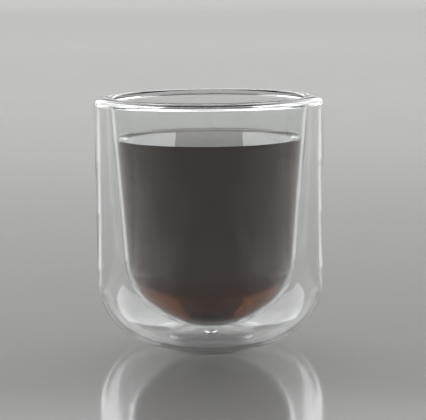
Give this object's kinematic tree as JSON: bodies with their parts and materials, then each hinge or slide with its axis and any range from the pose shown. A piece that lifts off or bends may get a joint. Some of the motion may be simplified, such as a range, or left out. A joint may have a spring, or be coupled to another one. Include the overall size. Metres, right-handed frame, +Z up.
{
  "type": "double walled glass cup",
  "caption": "Handleless cup of clear glass: a straight outer glass and a tapered inner bowl fused along one domed rim, with a closed jacket of air between them.",
  "frame": {"origin": "centre of the foot, on the plane that the cup stands on", "axes": "+Z up along the cup's axis, towards the mouth; the cup is round, so +X and +Y are free"},
  "size_m": [0.083, 0.083, 0.0912],
  "materials": {
    "outer_glass": "clear, flame polished",
    "inner_glass": "clear, flame polished",
    "rim_glass": "clear, flame polished",
    "seal_glass": "clear, melted drop"
  },
  "bodies": {
    "root": {"outer_glass": "outer_glass", "inner_bowl": "inner_glass", "fused_rim": "rim_glass", "vent_seal": "seal_glass"}
  },
  "joints": []
}
